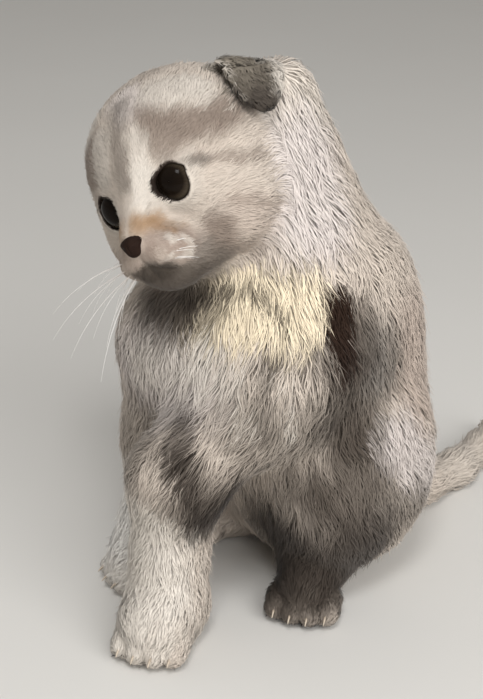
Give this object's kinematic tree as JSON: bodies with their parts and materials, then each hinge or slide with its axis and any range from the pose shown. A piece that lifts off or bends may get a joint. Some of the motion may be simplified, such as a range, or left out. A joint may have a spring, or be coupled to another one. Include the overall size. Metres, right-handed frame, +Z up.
{
  "type": "scottish fold kitten",
  "caption": "Life-size still model of a sitting fold-eared kitten with a half-long pale and grey coat, its head turned and tilted.",
  "frame": {"origin": "on the floor under the middle of the kitten's box", "axes": "+Z up, -Y the way the chest faces, +X to the kitten's left"},
  "size_m": [0.1198, 0.2409, 0.2072],
  "materials": {
    "pale_coat": "soft half-long fur, silvery cream",
    "cream_coat": "soft half-long fur, warm cream",
    "grey_coat": "soft fur, diluted grey-brown",
    "white_coat": "short soft white fur",
    "nose_skin": "moist dark brown nose leather",
    "eye": "wide dark pupil in a dark hazel iris, wet clear gloss",
    "claw_horn": "translucent pale horn"
  },
  "bodies": {
    "root": {"head": "pale_coat", "muzzle": "cream_coat", "lower_jaw": "grey_coat", "nose_leather": "nose_skin", "eye_left": "eye", "eye_right": "eye", "ear_left": "grey_coat", "ear_right": "grey_coat", "neck": "pale_coat", "chest": "cream_coat", "belly": "grey_coat", "rump": "pale_coat", "upper_arm_left": "cream_coat", "forearm_left": "white_coat", "fore_paw_left": "white_coat", "upper_arm_right": "cream_coat", "forearm_right": "white_coat", "fore_paw_right": "white_coat", "thigh_left": "grey_coat", "shank_left": "grey_coat", "hind_paw_left": "grey_coat", "thigh_right": "grey_coat", "shank_right": "grey_coat", "hind_paw_right": "grey_coat", "tail_1": "pale_coat", "tail_2": "pale_coat", "tail_3": "pale_coat", "tail_4": "white_coat", "claw_fore_left_1": "claw_horn", "claw_fore_left_2": "claw_horn", "claw_fore_left_3": "claw_horn", "claw_fore_left_4": "claw_horn", "claw_fore_right_1": "claw_horn", "claw_fore_right_2": "claw_horn", "claw_fore_right_3": "claw_horn", "claw_fore_right_4": "claw_horn", "claw_hind_left_1": "claw_horn", "claw_hind_left_2": "claw_horn", "claw_hind_left_3": "claw_horn", "claw_hind_left_4": "claw_horn", "claw_hind_right_1": "claw_horn", "claw_hind_right_2": "claw_horn", "claw_hind_right_3": "claw_horn", "claw_hind_right_4": "claw_horn"}
  },
  "joints": []
}
